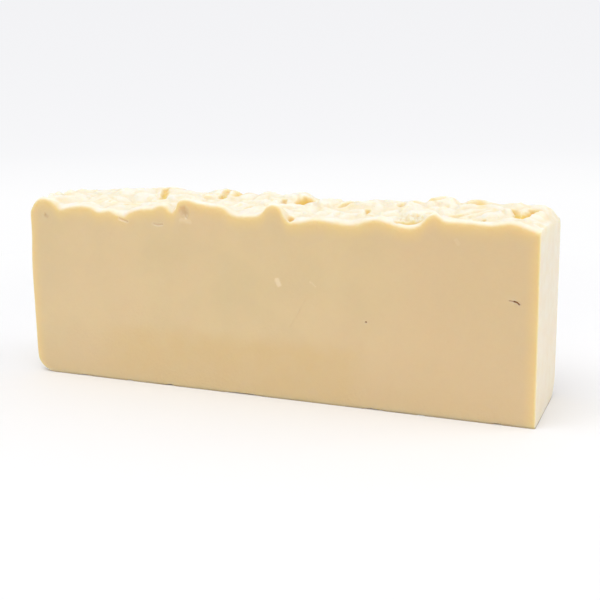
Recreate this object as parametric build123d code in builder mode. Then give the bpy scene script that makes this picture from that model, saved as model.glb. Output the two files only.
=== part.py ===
"""A long bar of handmade soap: a loaf cut from the corner of a poured slab.

One solid. The back and the left end were cast against the mould, so they lean
in by its draft and their lower edges are rounded. The front and the right end
were cut with a wire, so they are flat and sharp, and the wire broke small
crumbs out of the front lower edge. The top was worked with a spoon while soft.

Frame: X along the loaf, Y from the cut front to the moulded back, Z up.
The origin is on the flat base, under the middle of the top. Millimetres.
"""

import os
from math import ceil, cos, pi, radians, sin, sqrt, tan

from build123d import *

# Overall size
loaf_length = 256.0  # at the top
loaf_width = 56.0
top_level = 88.0  # from the base to the middle level of the rough top

# Moulded back and left end
back_draft = 1.0  # degrees
left_draft = 0.2  # degrees
mould_radius = 11.5  # lower edges and the upright corner between back and left
left_fall = 7.0  # how far the top drops at the left end
left_fall_reach = 6.0
back_fall = 4.0  # how far the top drops at the back
back_fall_reach = 6.0

# Cut front and right end
front_lean = 0.4  # the front leans out this much from base to top
right_lean = 1.0  # the right end leans in this much from base to top
right_fall = 4.0  # how far the top drops at the right end
right_fall_reach = 7.0

# Rough top. Each crest is (share of the length from the left end, rise above
# the middle level). The first line is where the cut shows the top in section,
# the second runs just inside the moulded back.
front_crests = [
    (0.000, -5.0),
    (0.012, 0.4),
    (0.030, 3.0),
    (0.050, 2.0),
    (0.068, -1.8),
    (0.100, -0.6),
    (0.125, 0.2),
    (0.155, -2.6),
    (0.185, -2.0),
    (0.214, -4.4),
    (0.248, -0.6),
    (0.275, -0.2),
    (0.298, 2.0),
    (0.318, -0.8),
    (0.332, 4.2),
    (0.352, 5.0),
    (0.385, 3.8),
    (0.420, 2.8),
    (0.438, -1.0),
    (0.465, -1.8),
    (0.494, -1.2),
    (0.510, 3.0),
    (0.524, 4.2),
    (0.538, 2.8),
    (0.550, -1.2),
    (0.575, -3.0),
    (0.612, -1.0),
    (0.650, -3.4),
    (0.682, -3.2),
    (0.705, 0.0),
    (0.730, -0.4),
    (0.762, -3.0),
    (0.790, -1.4),
    (0.806, 1.6),
    (0.820, 4.0),
    (0.836, 1.2),
    (0.870, 0.6),
    (0.910, 0.2),
    (0.948, 2.0),
    (0.975, 1.0),
    (1.000, -1.4),
]
back_crests = [
    (0.000, 2.0),
    (0.047, 2.4),
    (0.070, 1.2),
    (0.160, 3.4),
    (0.227, 4.2),
    (0.270, 2.0),
    (0.330, 4.8),
    (0.375, 3.2),
    (0.430, 3.6),
    (0.455, 1.8),
    (0.505, 4.0),
    (0.535, 1.6),
    (0.590, -0.6),
    (0.640, 2.8),
    (0.685, 1.8),
    (0.745, 2.2),
    (0.775, 5.0),
    (0.795, 4.8),
    (0.815, 2.4),
    (0.850, 4.6),
    (0.890, 3.6),
    (0.925, 4.0),
    (0.970, 2.2),
    (1.000, 1.0),
]
crest_reach = 14.0  # how far in from its edge a line of crests carries on
point_pitch = 3.0  # spacing of the points drawn along each section of the rough top
section_pitch = 4.0  # spacing of the sections from front to back

# Swells left by the spoon: (rise, pitch, direction in degrees from X, phase)
swells = [
    (1.5, 31.0, 24.0, 0.4),
    (1.3, 22.0, -52.0, 2.1),
    (1.0, 17.0, 81.0, 4.0),
    (0.8, 13.5, -12.0, 1.3),
]

# Crumbs broken out of the front lower edge: (share of the length, length, bite)
crumbs = [
    (0.114, 9.0, 0.7),
    (0.302, 6.0, 0.6),
    (0.415, 7.0, 0.8),
    (0.478, 16.0, 0.8),
    (0.714, 12.0, 0.7),
    (0.802, 6.0, 0.5),
    (0.936, 6.0, 0.9),
]

left = -loaf_length / 2
right = loaf_length / 2
front = -loaf_width / 2
back = loaf_width / 2
highest_crest = max(rise for _, rise in front_crests + back_crests)
blank_height = top_level + highest_crest + sum(rise for rise, *_ in swells)
back_inset = blank_height * tan(radians(back_draft))
left_inset = blank_height * tan(radians(left_draft))
overhang = section_pitch  # how far the rough-topped block runs past the loaf
block_left = left - overhang
block_right = right + overhang
block_front = front - overhang
block_back = back + overhang


def ease(share):
    """A smooth step from 0 to 1 as share runs from 0 to 1."""
    held = min(max(share, 0.0), 1.0)
    return held * held * (3 - 2 * held)


def crest(line, share):
    """Rise of a line of crests at a share of the length."""
    held = min(max(share, 0.0), 1.0)
    for (start, low), (end, high) in zip(line, line[1:]):
        if held <= end:
            return low + (high - low) * ease((held - start) / (end - start))
    return line[-1][1]


def swell(x, y):
    """Rise of the spoon's swells at a point."""
    total = 0.0
    for rise, pitch, direction, phase in swells:
        along = x * cos(radians(direction)) + y * sin(radians(direction))
        total += rise * sin(2 * pi * along / pitch + phase)
    return total


def fall(distance, depth, reach):
    """How far the top has dropped at this distance inside a moulded wall."""
    near = 1.0 - min(max(distance / reach, 0.0), 1.0)
    return depth * near * near


def top_height(x, y):
    """Height of the rough top at a point."""
    share = (x - left) / loaf_length
    by_front = 1 - ease((y - front) / crest_reach)
    by_back = 1 - ease((back - y) / crest_reach)
    rise = by_front * crest(front_crests, share)
    rise += by_back * crest(back_crests, share)
    rise += (1 - by_front - by_back) * swell(x, y)
    rise -= (1 - by_front) * fall(x - left, left_fall, left_fall_reach)
    rise -= (1 - by_front) * fall(right - x, right_fall, right_fall_reach)
    rise -= fall(back - y, back_fall, back_fall_reach)
    return top_level + rise


def section_points(y):
    """Evenly spaced points on the rough top, from left to right."""
    steps = ceil((block_right - block_left) / point_pitch)
    pitch = (block_right - block_left) / steps
    places = [block_left + pitch * n for n in range(steps + 1)]
    return [Vector(x, y, top_height(x, y)) for x in places]


# A block with the rough top, larger all round than the loaf. Its sections are
# drawn with the same spacing of points, so they loft into one smooth surface.
with BuildPart() as rough_block:
    section_count = ceil((block_back - block_front) / section_pitch)
    for n in range(section_count + 1):
        y = block_front + (block_back - block_front) * n / section_count
        points = section_points(y)
        spacing = [k / (len(points) - 1) for k in range(len(points))]
        with BuildSketch(Plane.XZ.offset(-y)):
            with BuildLine():
                top = [(point.X, point.Z) for point in points]
                add(Edge.make_spline([Vector(*place) for place in top], parameters=spacing))
                Polyline(top[-1], (block_right, -overhang), (block_left, -overhang), top[0])
            make_face()
    loft()

with BuildPart() as soap_loaf:
    # The blank: the base outline, lofted up to a larger outline past the top.
    with BuildSketch(Plane.XY):
        with BuildLine():
            Polyline(
                (left + left_inset, front + front_lean),
                (right + right_lean, front + front_lean),
                (right + right_lean, back - back_inset),
                (left + left_inset, back - back_inset),
                close=True,
            )
        make_face()
    with BuildSketch(Plane.XY.offset(blank_height)):
        with BuildLine():
            Polyline((left, front), (right, front), (right, back), (left, back), close=True)
        make_face()
    loft(ruled=True)

    # Edges cast against the mould: left and back of the base, and the upright
    # corner between them.
    base_edges = soap_loaf.edges().group_by(Axis.Z)[0]
    left_base = base_edges.sort_by(Axis.X)[0]
    back_base = base_edges.sort_by(Axis.Y)[-1]
    uprights = soap_loaf.edges().filter_by(lambda e: e.bounding_box().size.Z > blank_height / 2)
    moulded_corner = uprights.sort_by(lambda e: e.center().Y - e.center().X)[-1]
    fillet([left_base, back_base, moulded_corner], mould_radius)

    # Crumbs: each is a ball that just bites the front lower edge.
    for share, length, bite in crumbs:
        ball_radius = (length / 2) ** 2 / (2 * bite) + bite / 2
        reach = (ball_radius - bite) / sqrt(2)
        x = left + share * loaf_length
        with Locations((x, front + front_lean - reach, -reach)):
            Sphere(ball_radius, mode=Mode.SUBTRACT)

    # The rough top: only what lies inside the rough-topped block is kept.
    add(rough_block.part, mode=Mode.INTERSECT)

soap_loaf.part.label = "soap_loaf"

os.makedirs("parts", exist_ok=True)
export_step(soap_loaf.part, "parts/soap_loaf.step")

box = soap_loaf.part.bounding_box()
print("size", box.size, "from", box.min, "to", box.max)
print("volume in cm3", soap_loaf.part.volume / 1000)
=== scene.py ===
"""A long loaf of handmade soap, standing on a pale sweep under soft light."""

from math import cos, pi, sin

import bmesh
import bpy
from mathutils import Matrix, Vector, noise


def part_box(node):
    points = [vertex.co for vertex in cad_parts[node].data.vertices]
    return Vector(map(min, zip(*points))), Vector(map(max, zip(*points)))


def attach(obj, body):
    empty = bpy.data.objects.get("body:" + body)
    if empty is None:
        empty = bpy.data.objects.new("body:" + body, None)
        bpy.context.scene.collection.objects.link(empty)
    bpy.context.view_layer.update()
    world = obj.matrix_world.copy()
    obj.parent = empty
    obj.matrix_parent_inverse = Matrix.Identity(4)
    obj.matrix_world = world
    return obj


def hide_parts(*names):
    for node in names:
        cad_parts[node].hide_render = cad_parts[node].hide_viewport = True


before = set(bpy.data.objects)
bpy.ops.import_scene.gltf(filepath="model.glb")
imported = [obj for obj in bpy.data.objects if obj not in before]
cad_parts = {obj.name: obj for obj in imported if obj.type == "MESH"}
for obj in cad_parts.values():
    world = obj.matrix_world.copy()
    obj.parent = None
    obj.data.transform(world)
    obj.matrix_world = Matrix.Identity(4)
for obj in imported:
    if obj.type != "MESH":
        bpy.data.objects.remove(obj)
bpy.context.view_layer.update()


# --- The loaf ---------------------------------------------------------------
# One body of cured soap, cut from a corner of a poured slab. The back and the
# left end keep the mould's draft and rounded edges; the front and the right
# end are wire-cut; the top was roughed up with a spoon as the soap set.

MM = 0.001
noise.seed_set(2)  # the same lumps on every run
loaf_low, loaf_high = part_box("soap_loaf")
right_lean = 1 * MM  # how much further out the right end stands at the base
left, front, base = loaf_low
right, back, _ = loaf_high
right -= right_lean
length = right - left
width = back - front

middle_level = 88 * MM  # of the rough top, above the base
relief_foot = 55 * MM  # the lumps of the top shift the sides down to here
back_lean = 1.5 * MM  # how much further out the back stands at the top
front_lean = 0.4 * MM
left_lean = 1.2 * MM  # how far the left end leans in near the top

# Rounded edges: cast against the mould, cut with the wire, and under the top.
mould_radius = 11.5 * MM
cut_radius = 0.8 * MM
front_left_radius = 1.8 * MM
front_top_radius = 3.6 * MM
left_top_radius = 4 * MM
back_top_radius = 5 * MM
right_top_radius = 1.4 * MM

# The spoon's work on the top: broad swells, lumps, small lumps and crumbs.
front_reach = 13 * MM  # how far in from the front its crest carries on
back_reach = 15 * MM
wall_lip = 3 * MM  # the back crest stands this far inside the back
swell_rise = 2.6 * MM
lump_size, lump_rise = 11.5 * MM, 1.7 * MM
small_size, small_rise = 4.8 * MM, 0.42 * MM
crumb_size, crumb_rise = 2.1 * MM, 0.7 * MM
ridge_x, ridge_y = 71.5, -18  # middle of the crumbliest stretch, in millimetres
hollow_reach = 9 * MM  # how far from its middle a hollow is felt

# Where the front passes through the lumps of the top, from left to right:
# (place along the loaf, height), in millimetres.
front_crest = [
    (-128, 85), (-125.5, 88.4), (-122, 90.9), (-118, 91.4), (-115, 90.6),
    (-112.4, 88.6), (-110.6, 86.8), (-108.5, 86.7), (-104, 88), (-98, 88.9),
    (-92.5, 88.3), (-87.5, 86.2), (-81.5, 87.1), (-77.5, 85.7), (-73, 84.9),
    (-69.5, 87), (-64, 88.9), (-58, 89.2), (-51.5, 91.1), (-48, 88.6),
    (-46.2, 88), (-44.6, 90), (-43.6, 92.6), (-41.3, 94.1), (-37.5, 94.3),
    (-33, 93.2), (-27, 92.2), (-20.5, 91.8), (-15.5, 88.6), (-11, 87.9),
    (-5, 88.2), (-1.5, 88.8), (0.8, 90.2), (2.4, 92.4), (4.2, 93.7),
    (6.5, 93.9), (8.6, 93), (10.3, 90.6), (12, 87.6), (14, 86.6),
    (19, 86.6), (27, 88.2), (33.5, 87.7), (38.5, 87), (43, 86.8),
    (47, 87.2), (51, 88.8), (56, 89.7), (61, 88.5), (66, 87.2),
    (71, 86.8), (75.5, 88.2), (79, 91.8), (81.5, 93.3), (83.5, 92.2),
    (86.5, 90.6), (98, 90.2), (107, 89.9), (115, 91), (121.5, 89.4),
    (128, 87.2),
]
# The same along the back, just inside the mould's wall.
back_crest = [
    (-128, 88), (-118, 88.6), (-110, 89.4), (-102, 89.8), (-88, 90.7),
    (-70, 91.7), (-61, 89.7), (-56, 89.1), (-50, 90.9), (-44, 92.4),
    (-38.5, 91.7), (-30, 90.7), (-24, 90.1), (-18, 91.6), (-11, 90),
    (-5, 90.7), (2.5, 92.3), (8, 89.5), (14, 88.1), (20.5, 86.3),
    (27, 85.3), (34, 88.2), (39, 90), (43.5, 90.4), (49, 89.7), (60, 90.5), (64.5, 89.7),
    (67.5, 92.3), (77.5, 92.9), (81.5, 90), (86.5, 92.1), (93, 92.2),
    (98, 90.9), (109, 91.7), (115, 90.9), (121, 90.6), (128, 89),
]
# Hollows the spoon left: (x, y, half the size along x, half the size along y,
# turn in degrees, depth), in millimetres.
hollows = [
    (115, -3, 3.8, 7, 0, 5.4),
    (5.9, 11, 4.6, 7, -10, 5.4),
    (-118, -14, 1.4, 2.4, 0, 1.6),
    (-88, -15, 1.4, 2.4, 0, 1.4),
    (-102, 14, 6, 4, 0, 1.0),
    (-33, 20, 4, 6, 0, 1.8),
    (-13, -12, 1.8, 3.6, 0, 2.2),
    (13.9, -25, 1.6, 1.8, 0, 2.6),
    (15, 18, 4, 5, 0, 1.1),
    (56, 11, 2.4, 4, 0, 1.8),
    (75.8, 11, 3.2, 4.6, -20, 3.2),
    (91, 18, 6, 5, 0, 2.4),
    (100.4, -13, 1.1, 3.2, 0, 5.0),
    (126, -16, 2, 3, 0, 1.0),
]
# Knobs it pulled up: (x, y, reach, rise), in millimetres.
knobs = [
    (-126, -8, 6, 4),
    (-116, 4, 8, 0.8),
    (-58, 4, 8, 1.2),
    (104, 4, 8, 1.2),
]
# Creases where one spoonful folded over another: (from x, y, to x, y, half
# width, depth), in millimetres.
creases = [
    (115, -4, 109, 13, 1.9, 4.0),
    (115, -4, 117.8, 15, 3.0, 6.0),
    (-66.5, -1, -76, 21, 1.8, 3.4),
    (-78, -15, -74, -9, 1.3, 1.7),
    (-36.5, 6, -40.5, 21, 1.7, 3.2),
    (-5, 12, 2, -5, 1.2, 1.7),
    (29, 2, 35, 14, 1.5, 1.8),
    (35, 14, 32, 25, 2.4, 2.4),
    (43, -2, 46.5, -15, 1.2, 1.6),
    (46.5, -15, 51, -18, 1.0, 1.4),
    (64.5, -24.4, 78.5, -22.4, 1.4, 2.8),
    (-60, -14, -48, -4, 1.4, 1.0),
    (84, -6, 98, 6, 1.4, 1.1),
    (-100, -18, -92, -6, 1.4, 0.9),
    (60, 20, 73, 22, 1.2, 1.6),
]
# Marks on the cut front: (places along the mark as x and z, half width, depth,
# share of grime and painted shade in it, share of pale dust round it), in millimetres.
front_marks = [
    ([(115.3, 56.3), (117.4, 56.2)], 0.22, 0.5, 0.6, 0.3),
    ([(117.4, 56.2), (118.6, 55.8), (119.6, 55)], 0.42, 1.0, 1.0, 0.7),
    ([(51.1, 41.4), (51.3, 41.2)], 0.45, 0.9, 0.9, 0.2),
    ([(24.3, 58), (25.6, 57.3), (27, 56.1)], 0.3, 0.2, 0.0, 0.5),
    ([(7.9, 57.7), (8.5, 56.6), (8.9, 55.6)], 0.8, -0.12, 0.0, 0.9),
    ([(14, 35.8), (18, 42.4), (22.2, 49.6)], 0.6, 0.12, 0.03, 0.0),
    ([(-118, 81.8), (-117.5, 81.4)], 1.2, 0.5, 0.14, 0.0),
    ([(-56.6, 80.8), (-54.4, 80.2), (-51.8, 80.7)], 0.6, 0.45, 0.12, 0.4),
    ([(-75.6, 82.3), (-73.4, 81.6), (-71, 81)], 0.6, 0.4, 0.08, 0.4),
    ([(-40.4, 88.2), (-39.2, 86.4)], 2.3, 1.0, 0.1, 0.0),
    ([(-41.4, 83), (-37.2, 82.6)], 0.9, -0.2, 0.0, 0.3),
    ([(91.7, 81.2), (92.8, 79.7)], 0.6, 0.1, 0.0, 0.25),
]
# Crumbs broken out of the front lower edge: (from x, to x, bite), in millimetres.
crumbs = [
    (-103.5, -94.5, 0.7), (-75, -71, 0.5), (-53.5, -47.5, 0.8), (-22, 0, 0.7),
    (49, 60, 0.7), (75, 79, 0.5), (109.5, 113.5, 0.8),
]


def ease(share):
    """A smooth step from 0 to 1."""
    held = min(max(share, 0.0), 1.0)
    return held * held * (3 - 2 * held)


def height_on(crest, x):
    """Height of a crest line above the base, curving through its points."""
    spot = x / MM
    last = len(crest) - 1
    k = next((n for n in range(1, last) if crest[n][0] >= spot), last)
    before, start, end, after = (crest[min(max(n, 0), last)] for n in range(k - 2, k + 2))
    span = end[0] - start[0]
    t = min(max((spot - start[0]) / span, 0.0), 1.0)
    slope_in = (end[1] - before[1]) / (end[0] - before[0]) * span
    slope_out = (after[1] - start[1]) / (after[0] - start[0]) * span
    rise = end[1] - start[1]
    bend_in, bend_out = slope_in - rise, rise - slope_out
    return MM * (start[1] + rise * t + t * (1 - t) * (bend_in * (1 - t) + bend_out * t))


def lumps(x, y, size, drift):
    """Rounded lumps of about this size: 0 in the folds between, 1 on top."""
    spot = Vector((x / size, y / size, drift))
    warp = noise.noise_vector(spot * 0.8) * 0.45 + noise.noise_vector(spot * 2.3) * 0.12
    reach, _ = noise.voronoi(spot + warp)
    return ease((reach[1] - reach[0]) / 0.5)


def spoon_marks(x, y):
    """How far the hollows and creases lower the top, and how near they are."""
    fall, near = 0.0, 0.0
    stray = noise.noise(Vector((x, y, 0)) / (3 * MM)) * 0.25
    wander = noise.noise_vector(Vector((x, y, 0)) / (6 * MM)) * 0.9 * MM
    x, y = x + wander.x, y + wander.y
    for place_x, place_y, half_x, half_y, turn, depth in hollows:
        across, along = x - place_x * MM, y - place_y * MM
        if max(abs(across), abs(along)) > hollow_reach:
            continue
        swing = turn * pi / 180
        u = (across * cos(swing) + along * sin(swing)) / (half_x * MM)
        v = (along * cos(swing) - across * sin(swing)) / (half_y * MM)
        off = (u * u + v * v) ** 0.5
        fall = max(fall, depth * MM * ease(1.25 - off + stray))
        near = max(near, ease(2.4 - off))
    for from_x, from_y, to_x, to_y, wide, depth in creases:
        run = Vector(((to_x - from_x) * MM, (to_y - from_y) * MM))
        gap = Vector((x - from_x * MM, y - from_y * MM))
        share = min(max(gap.dot(run) / run.length_squared, 0.0), 1.0)
        off = (gap - run * share).length / (wide * MM)
        fade = 1 - 0.5 * share
        fall = max(fall, depth * MM * fade * ease(1.3 - 0.9 * off + stray))
        near = max(near, ease(2.8 - off))
    return fall, near


def top_shape(x, y):
    """Height of the rough top above the base, and how deep in a hollow or fold it is, which sets the
    painted shade there.
    """
    by_front = 1 - ease((y - front) / front_reach)
    by_back = 1 - ease((back - wall_lip - y) / back_reach)
    inside = max(0.0, 1 - by_front - by_back)
    across = (y - front) / width
    swell = noise.noise(Vector((x / 21, y / 15, 2 * MM)) / MM) * swell_rise
    body = middle_level + (0.2 + 2.4 * across) * MM + swell
    for place_x, place_y, reach, rise in knobs:
        off = ((x / MM - place_x) ** 2 + (y / MM - place_y) ** 2) ** 0.5
        body += rise * MM * ease(1.2 - off / reach)
    height = by_front * height_on(front_crest, x) + by_back * height_on(back_crest, x)
    height += inside * body
    inner = 1 - by_front * by_front
    marks, near_mark = spoon_marks(x, y)
    marks *= ease((y - front) / (2 * MM))
    calm = inner * (1 - 0.55 * by_back) * (1 - 0.5 * near_mark)
    large = lumps(x, y, lump_size, 0.3)
    small = lumps(x, y, small_size, 5.1)
    height += calm * lump_rise * (large - 0.7)
    height += (0.25 + 0.75 * calm) * small_rise * (small - 0.7)
    off_ridge = (x / MM - ridge_x) ** 2 / 90 + (y / MM - ridge_y) ** 2 / 30
    on_ridge = ease(1.5 - off_ridge) * ease((y - front) / (3 * MM))
    crumbly = ease(noise.noise(Vector((x, y, 40 * MM)) / (17 * MM)) * 1.6 + 0.1)
    crumbly = max(0.45 * inner * crumbly, 1.9 * on_ridge)
    grains = lumps(x, y, crumb_size, 9.4)
    height += crumbly * crumb_rise * (grains - 0.5)
    end_wave = noise.noise(Vector((0, y, 7 * MM)) / (6 * MM))
    end_line = (87.1 - 1.9 * across + 1.4 * end_wave) * MM
    end_pull = ease(1 - (right - x) / (4.5 * MM)) * inner
    height += -marks + (end_line - height + marks) * end_pull
    # Painted shade in the folds between lumps and crumbs, added to that of the hollows.
    fold_shade = max(0.25 * (1 - large) ** 3 * inner, 0.5 * (1 - grains) ** 2 * on_ridge)
    hollow_shade = max(0.0, marks / (2.6 * MM) - 0.04) + fold_shade * (1 - end_pull)
    return height, min(1.0, hollow_shade)


def mark_on_front(x, z):
    """How far the marks sink the front at a point, its grime and painted shade, and its dust."""
    sink, grime_and_shade, dust = 0.0, 0.0, 0.0
    ragged = noise.noise(Vector((x, z, 0)) / (0.9 * MM)) * 0.3
    for places, wide, depth, dirt_and_shade, pale in front_marks:
        near = 99.0
        for (from_x, from_z), (to_x, to_z) in zip(places, places[1:]):
            run = Vector((to_x - from_x, to_z - from_z))
            gap = Vector((x / MM - from_x, z / MM - from_z))
            share = min(max(gap.dot(run) / run.length_squared, 0.0), 1.0)
            near = min(near, (gap - run * share).length)
        off = near / wide + ragged
        if off < 3:
            sink += depth * MM * ease(1.25 - off)
            # Grime with painted shade, standing in for the shadow down in the pit or crack.
            grime_and_shade = max(grime_and_shade, dirt_and_shade * ease(1.3 - off))
            dust = max(dust, pale * ease(1.9 - off))
    return sink, grime_and_shade, dust


def crumb_bite(x):
    """How far up the front lower edge is broken away at a place."""
    bite = 0.0
    for from_x, to_x, most in crumbs:
        share = (x / MM - from_x) / (to_x - from_x)
        if 0 < share < 1:
            jag = 0.7 + 0.6 * noise.noise(Vector((x / (1.7 * MM), 0, 0)))
            bite = most * MM * jag * ease(4 * share) * ease(4 - 4 * share)
    return bite


def rounded(spot, low, high):
    """A point of a square-edged block, moved to where a rounded edge has it.

    low and high are the corners of the core that the edge's radius stands on.
    """
    core = Vector(min(max(spot[n], low[n]), high[n]) for n in range(3))
    out = spot - core
    reach = max(abs(step) for step in out)
    return core + out * (reach / out.length) if out.length > 0 else spot


face_depth = 0.1 * MM  # what lies this near the block's front is its front face


def refine(mesh, low_x, high_x, low_z, high_z, step):
    """Cuts a patch of the front face into small squares, for a fine mark."""
    centres = [(face, face.calc_center_median()) for face in mesh.faces]
    faces = [
        face for face, middle in centres
        if middle.y < front + face_depth and low_x < middle.x < high_x and low_z < middle.z < high_z
    ]
    along, upward = Vector((1, 0, 0)), Vector((0, 0, 1))
    for low, high, axis in ((low_x, high_x, along), (low_z, high_z, upward)):
        for n in range(int((high - low) / step) + 1):
            edges = list({edge for face in faces for edge in face.edges})
            points = list({point for face in faces for point in face.verts})
            made = bmesh.ops.bisect_plane(
                mesh, geom=faces + edges + points, dist=1e-6, plane_no=axis,
                plane_co=axis * (low + n * step + 0.37 * step),
            )
            faces = [piece for piece in made["geom"] if isinstance(piece, bmesh.types.BMFace)]


def make_loaf_mesh():
    """The loaf's mesh, as a block of fine squares that is then worked on."""
    mesh = bmesh.new()
    square = 0.62 * MM
    columns, rows = round(length / square), round(width / square)
    bmesh.ops.create_grid(mesh, x_segments=columns, y_segments=rows, size=0.5)
    bmesh.ops.scale(mesh, verts=mesh.verts, vec=(length, width, 1))
    centre = Vector(((left + right) / 2, (front + back) / 2, middle_level))
    bmesh.ops.translate(mesh, verts=mesh.verts, vec=centre)

    # The sides, ring by ring down to the base, then the base ring by ring in.
    side_levels = [87.4, 86.8, 86, 85, 83.5, 81.5, 79, 76, 72.5, 68.5, 64, 59, 54, 49, 44, 39, 34]
    side_levels += [29, 24, 19, 14.5, 11, 8.5, 6.8, 5.2, 3.8, 2.6, 1.7, 1.1, 0.6, 0.25, 0]
    base_steps = [0.3, 0.4, 0.5, 0.8, 1, 1.2, 1.4, 1.6, 2.8]
    rings = [(level, 0) for level in side_levels] + [(0, step) for step in base_steps]
    border = [edge for edge in mesh.edges if edge.is_boundary]
    for level, inward in rings:
        made = bmesh.ops.extrude_edge_only(mesh, edges=border)["geom"]
        border = [piece for piece in made if isinstance(piece, bmesh.types.BMEdge)]
        for point in (piece for piece in made if isinstance(piece, bmesh.types.BMVert)):
            point.co.z = base + level * MM
            point.co.x += inward * MM * (centre.x - point.co.x) / (length / 2)
            point.co.y += inward * MM * (centre.y - point.co.y) / (width / 2)
    bmesh.ops.contextual_create(mesh, geom=border)
    bmesh.ops.recalc_face_normals(mesh, faces=mesh.faces)

    for places, wide, *_ in front_marks:
        low_x, high_x = min(x for x, _ in places), max(x for x, _ in places)
        low_z, high_z = min(z for _, z in places), max(z for _, z in places)
        room, step = 2.6 * wide + 0.4, max(0.42 * wide, 0.22)
        # The lumps of the top will lift this patch, so it starts that much lower.
        lift = height_on(front_crest, (low_x + high_x) / 2 * MM) - middle_level
        lift *= ease(((low_z + high_z) / 2 * MM - relief_foot) / (middle_level - relief_foot))
        refine(mesh, (low_x - room) * MM, (high_x + room) * MM, (low_z - room) * MM - lift,
               (high_z + room) * MM - lift, step * MM)

    far = 1.0  # a core reaches past the block at the edges that it leaves square
    top = middle_level
    cores = [
        (Vector((left + mould_radius, -far, base + mould_radius)),
         Vector((far, back - mould_radius, far))),
        (Vector((-far, front + cut_radius, -far)), Vector((right - cut_radius, far, far))),
        (Vector((left + front_left_radius, front + front_left_radius, -far)),
         Vector((far, far, far))),
        (Vector((-far, front + front_top_radius, -far)), Vector((far, far, top - front_top_radius))),
        (Vector((left + left_top_radius, -far, -far)), Vector((far, far, top - left_top_radius))),
        (Vector((-far, -far, -far)), Vector((far, back - back_top_radius, top - back_top_radius))),
        (Vector((-far, -far, -far)),
         Vector((right - right_top_radius, far, top - right_top_radius))),
    ]
    # Amounts for the paint: painted shade in the top's hollows, a painted glow under its edges, grime
    # with painted shade in the front's marks, and pale dust.
    hollow_shade = mesh.verts.layers.float.new("hollow_shade")
    edge_glow = mesh.verts.layers.float.new("edge_glow")
    grime_and_shade = mesh.verts.layers.float.new("grime_and_shade")
    dust = mesh.verts.layers.float.new("dust")
    for point in mesh.verts:
        spot = point.co
        on_front = spot.y < front + face_depth
        for low, high in cores:
            spot = rounded(spot, low, high)
        below = 1 - min(max(spot.z / top, 0.0), 1.0)
        rise = ease((spot.z - relief_foot) / (top - relief_foot))
        if rise > 0:
            height, depth = top_shape(spot.x, spot.y)
            spot.z += (height - top) * rise
            # Painted shade down in the hollows and folds of the top, and a painted glow under its
            # edges that fades 10 mm down the sides.
            point[hollow_shade] = depth * ease((spot.z - height + 6 * MM) / (4 * MM))
            point[edge_glow] = ease(1 - (height - spot.z) / (10 * MM))
        if on_front:
            sink, point[grime_and_shade], point[dust] = mark_on_front(spot.x, spot.z)
            spot.y += sink
            # A painted glow also along the front's two ends, as of light passing through the soap.
            near_end = min(right - spot.x, spot.x - left) / (7 * MM)
            point[edge_glow] = max(point[edge_glow], 0.75 * ease(1 - near_end))
        bite = crumb_bite(spot.x) * ease(1 - (spot.y - front) / (2 * MM))
        if spot.z < 1.4 * bite:
            spot.y += 0.5 * (1.4 * bite - spot.z)
            spot.z = max(spot.z, bite)
        spot.x += right_lean * below * (spot.x - left) / length
        spot.x += left_lean * ease((spot.z - 52 * MM) / (24 * MM)) * (right - spot.x) / length
        spot.y -= back_lean * below * (spot.y - front) / width
        spot.y += front_lean * below * (back - spot.y) / width
        point.co = spot

    # The pale bloom: thickest where the soap faced up while it cured. On the two
    # ends the paleness is a painted sheen, as of the pale room glancing off them.
    bloom_and_sheen = mesh.verts.layers.float.new("bloom_and_sheen")
    mesh.normal_update()
    for point in mesh.verts:
        facing = point.normal
        up = ease((facing.z - 0.3) / 0.55)
        end_sheen = 0.72 * ease((facing.x - 0.45) / 0.4) + 0.65 * ease((-facing.x - 0.45) / 0.4)
        low_down = 0.8 + 0.2 * point.co.z / top
        point[bloom_and_sheen] = max(up, end_sheen * low_down, 0.4 * ease((facing.y - 0.45) / 0.4))
    return mesh


loaf_bmesh = make_loaf_mesh()
loaf_mesh = bpy.data.meshes.new("soap_loaf_body")
loaf_bmesh.to_mesh(loaf_mesh)
loaf_bmesh.free()
loaf_mesh.shade_smooth()
loaf = bpy.data.objects.new("soap_loaf_body", loaf_mesh)
bpy.context.scene.collection.objects.link(loaf)

soap = bpy.data.materials.new("cured_soap")
soap.use_nodes = True
nodes, links = soap.node_tree.nodes, soap.node_tree.links
shader = nodes["Principled BSDF"]
place = nodes.new("ShaderNodeTexCoord").outputs["Object"]


def cloud(size, detail, lowest, highest):
    """A soft noise of this size, spread between two values."""
    grain = nodes.new("ShaderNodeTexNoise")
    grain.inputs["Scale"].default_value = 1 / size
    grain.inputs["Detail"].default_value = detail
    links.new(place, grain.inputs["Vector"])
    return spread(grain.outputs["Fac"], 0.3, 0.7, lowest, highest)


def spread(value, low, high, lowest, highest):
    """A value taken smoothly from one range to another."""
    ramp = nodes.new("ShaderNodeMapRange")
    ramp.interpolation_type = "SMOOTHSTEP"
    ramp.inputs["From Min"].default_value = low
    ramp.inputs["From Max"].default_value = high
    ramp.inputs["To Min"].default_value = lowest
    ramp.inputs["To Max"].default_value = highest
    links.new(value, ramp.inputs["Value"])
    return ramp.outputs["Result"]


def times(first, second):
    """The product of two values."""
    product = nodes.new("ShaderNodeMath")
    product.operation = "MULTIPLY"
    for value, socket in zip((first, second), product.inputs):
        if isinstance(value, float):
            socket.default_value = value
        else:
            links.new(value, socket)
    return product.outputs["Value"]


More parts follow.
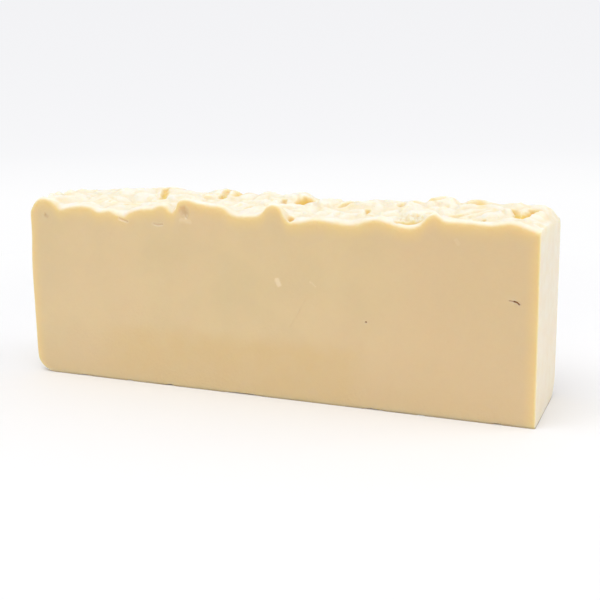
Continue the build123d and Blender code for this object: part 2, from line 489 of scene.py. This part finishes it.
def painted(under, colour, amount):
    """A colour laid over what is under it, by an amount from 0 to 1."""
    mix = nodes.new("ShaderNodeMix")
    mix.data_type = "RGBA"
    links.new(amount, mix.inputs["Factor"])
    for value, socket in ((under, mix.inputs["A"]), (colour, mix.inputs["B"])):
        if isinstance(value, tuple):
            socket.default_value = (*value, 1)
        else:
            links.new(value, socket)
    return mix.outputs["Result"]


def worn(name):
    """An amount held by the mesh's own points."""
    amount = nodes.new("ShaderNodeAttribute")
    amount.attribute_name = name
    return amount.outputs["Fac"]


axes = nodes.new("ShaderNodeSeparateXYZ")
links.new(place, axes.inputs["Vector"])
along, upward = axes.outputs["X"], axes.outputs["Z"]

# The soap itself, mottled all over: a yellower band low down in the middle,
# duller towards the foot and the right, and a painted honey glow under the top
# edges and along the front's ends, as of light passing through the soap there.
ochre, dull_ochre, pink_ochre = (0.80, 0.635, 0.37), (0.765, 0.61, 0.355), (0.815, 0.62, 0.38)
band_ochre, foot_ochre, right_ochre = (0.775, 0.58, 0.30), (0.745, 0.575, 0.33), (0.775, 0.59, 0.345)
edge_glow_honey = (0.865, 0.665, 0.30)
low_band = times(spread(upward, 22 * MM, 33 * MM, 1.0, 0.0),
                 times(spread(along, -95 * MM, -75 * MM, 0.0, 1.0),
                       spread(along, 42 * MM, 56 * MM, 1.0, 0.0)))
colour = painted(ochre, dull_ochre, cloud(26 * MM, 3.0, 0.0, 1.0))
colour = painted(colour, pink_ochre, cloud(45 * MM, 1.0, 0.0, 0.5))
colour = painted(colour, band_ochre, times(low_band, cloud(14 * MM, 2.0, 0.5, 0.9)))
colour = painted(colour, foot_ochre, spread(upward, 0.0, 34 * MM, 0.6, 0.0))
colour = painted(colour, right_ochre, spread(along, 20 * MM, 100 * MM, 0.0, 0.6))
colour = painted(colour, edge_glow_honey, times(worn("edge_glow"), 0.85))

# The bloom over it, a painted sheen on the ends, painted shade in the hollows
# and folds, dust round the marks on the front, grime with painted shade in
# them, and a painted contact shadow along the foot.
bloom_and_sheen_cream, hollow_shade_orange = (0.90, 0.865, 0.755), (0.82, 0.58, 0.14)
dust_pink, grime_and_shade_brown, foot_shadow_brown = (0.90, 0.74, 0.52), (0.46, 0.19, 0.055), (0.42, 0.19, 0.07)
bloom_and_sheen = times(worn("bloom_and_sheen"), cloud(7 * MM, 2.0, 0.76, 1.0))
colour = painted(colour, bloom_and_sheen_cream, bloom_and_sheen)
colour = painted(colour, hollow_shade_orange, worn("hollow_shade"))
colour = painted(colour, dust_pink, worn("dust"))
colour = painted(colour, grime_and_shade_brown, worn("grime_and_shade"))
# A painted contact shadow along the foot, where the loaf meets the table.
colour = painted(colour, foot_shadow_brown, spread(upward, 0.1 * MM, 1.1 * MM, 0.35, 0.0))
links.new(colour, shader.inputs["Base Color"])
links.new(spread(bloom_and_sheen, 0.0, 1.0, 0.5, 0.72), shader.inputs["Roughness"])
shader.inputs["IOR"].default_value = 1.46
shader.inputs["Subsurface Weight"].default_value = 1.0
shader.inputs["Subsurface Radius"].default_value = (1.0, 0.85, 0.6)
shader.inputs["Subsurface Scale"].default_value = 4 * MM
grain = nodes.new("ShaderNodeBump")
grain.inputs["Distance"].default_value = 0.15 * MM
grain.inputs["Strength"].default_value = 0.6
links.new(cloud(1.3 * MM, 4.0, 0.0, 1.0), grain.inputs["Height"])
links.new(grain.outputs["Normal"], shader.inputs["Normal"])
loaf_mesh.materials.append(soap)

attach(loaf, "root")
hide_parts("soap_loaf")


# --- The studio -------------------------------------------------------------
# A white table that sweeps up all round into a low wall, a broad lamp
# overhead, a smaller one towards the right end, and a pale room.

sweep_profile = bmesh.new()
floor_radius, bend_radius, wall_top = 1.3, 0.9, 1.3
profile = [Vector((0, 0, 0)), Vector((floor_radius, 0, 0))]
bend_steps = 16
for n in range(1, bend_steps + 1):
    turn = pi / 2 * n / bend_steps
    profile.append(Vector((floor_radius + bend_radius * sin(turn), 0, bend_radius * (1 - cos(turn)))))
profile.append(Vector((floor_radius + bend_radius, 0, wall_top)))
points = [sweep_profile.verts.new(spot) for spot in profile]
edges = [sweep_profile.edges.new(pair) for pair in zip(points, points[1:])]
bmesh.ops.spin(
    sweep_profile, geom=points + edges, cent=(0, 0, 0), axis=(0, 0, 1), dvec=(0, 0, 0),
    angle=2 * pi, steps=96, use_merge=True,
)
bmesh.ops.remove_doubles(sweep_profile, verts=sweep_profile.verts, dist=1e-5)
bmesh.ops.recalc_face_normals(sweep_profile, faces=sweep_profile.faces)
sweep_mesh = bpy.data.meshes.new("white_sweep")
sweep_profile.to_mesh(sweep_mesh)
sweep_profile.free()
sweep_mesh.shade_smooth()
sweep = bpy.data.objects.new("white_sweep", sweep_mesh)
bpy.context.scene.collection.objects.link(sweep)
white = bpy.data.materials.new("white_table")
white.use_nodes = True
nodes, links = white.node_tree.nodes, white.node_tree.links
white_shader = nodes["Principled BSDF"]
table_white = (0.925, 0.925, 0.93, 1)
white_shader.inputs["Base Color"].default_value = table_white
white_shader.inputs["Roughness"].default_value = 0.8
white_shader.inputs["Specular IOR Level"].default_value = 0.2
# Further off it looks pale whatever light reaches it, and it lights nothing
# more for that. It greys off towards the wall: a painted shade of the far sweep.
bare_radius, pale_radius, far_radius = 0.14, 0.42, 2.1
near_white, mid_white = (0.995, 0.995, 1, 1), (0.94, 0.94, 0.955, 1)
far_white = (0.885, 0.885, 0.905, 1)
away = nodes.new("ShaderNodeVectorMath")
away.operation = "LENGTH"
links.new(nodes.new("ShaderNodeTexCoord").outputs["Object"], away.inputs[0])
fade = nodes.new("ShaderNodeValToRGB")
fade.color_ramp.elements[0].position = 0.35
fade.color_ramp.elements[0].color = near_white
fade.color_ramp.elements[1].position = 1.0
fade.color_ramp.elements[1].color = far_white
fade.color_ramp.elements.new(0.6).color = mid_white
links.new(times(away.outputs["Value"], 1 / far_radius), fade.inputs["Fac"])
pale = nodes.new("ShaderNodeEmission")
links.new(fade.outputs["Color"], pale.inputs["Color"])
rays = nodes.new("ShaderNodeLightPath")
seen = rays.outputs["Is Camera Ray"]
for kind in ("Is Glossy Ray", "Is Transmission Ray"):
    either = nodes.new("ShaderNodeMath")
    either.operation = "ADD"
    either.use_clamp = True
    links.new(seen, either.inputs[0])
    links.new(rays.outputs[kind], either.inputs[1])
    seen = either.outputs["Value"]
far_off = spread(away.outputs["Value"], bare_radius, pale_radius, 0.0, 1.0)
both = nodes.new("ShaderNodeMixShader")
links.new(times(seen, far_off), both.inputs["Fac"])
links.new(white_shader.outputs["BSDF"], both.inputs[1])
links.new(pale.outputs["Emission"], both.inputs[2])
links.new(both.outputs["Shader"], nodes["Material Output"].inputs["Surface"])
sweep_mesh.materials.append(white)

for name, spot, size, energy in (
    ("overhead_lamp", (-0.22, -0.46, 1.4), 1.2, 9.2),
    ("side_lamp", (0.95, 0.25, 0.55), 0.7, 2.25),
):
    lamp_data = bpy.data.lights.new(name, "AREA")
    lamp_data.shape = "SQUARE"
    lamp_data.size = size
    lamp_data.energy = energy
    lamp = bpy.data.objects.new(name, lamp_data)
    lamp.location = spot
    lamp.rotation_mode = "QUATERNION"
    lamp.rotation_quaternion = (-lamp.location).to_track_quat("-Z", "Y")
    bpy.context.scene.collection.objects.link(lamp)

world = bpy.data.worlds.new("pale_room")
bpy.context.scene.world = world
world.use_nodes = True
world.node_tree.nodes["Background"].inputs["Color"].default_value = (0.98, 0.98, 1.0, 1)
world.node_tree.nodes["Background"].inputs["Strength"].default_value = 0.7

camera_data = bpy.data.cameras.new("camera")
camera_data.lens = 63.71
camera_data.sensor_width = 36
camera_data.clip_start, camera_data.clip_end = 0.01, 20
camera = bpy.data.objects.new("camera", camera_data)
turn_round, look_down, tilt = 21.77 * pi / 180, 13.281 * pi / 180, -0.479 * pi / 180
aim = Vector((8.484, 0, 42.043)) * MM
distance = 520.085 * MM
camera.rotation_mode = "QUATERNION"
camera.rotation_quaternion = (
    Matrix.Rotation(turn_round, 3, "Z") @ Matrix.Rotation(pi / 2 - look_down, 3, "X")
    @ Matrix.Rotation(tilt, 3, "Z")
).to_quaternion()
camera.location = aim + camera.rotation_quaternion @ Vector((0, 0, distance))
bpy.context.scene.collection.objects.link(camera)
bpy.context.scene.camera = camera
bpy.context.scene.view_settings.view_transform = "Standard"
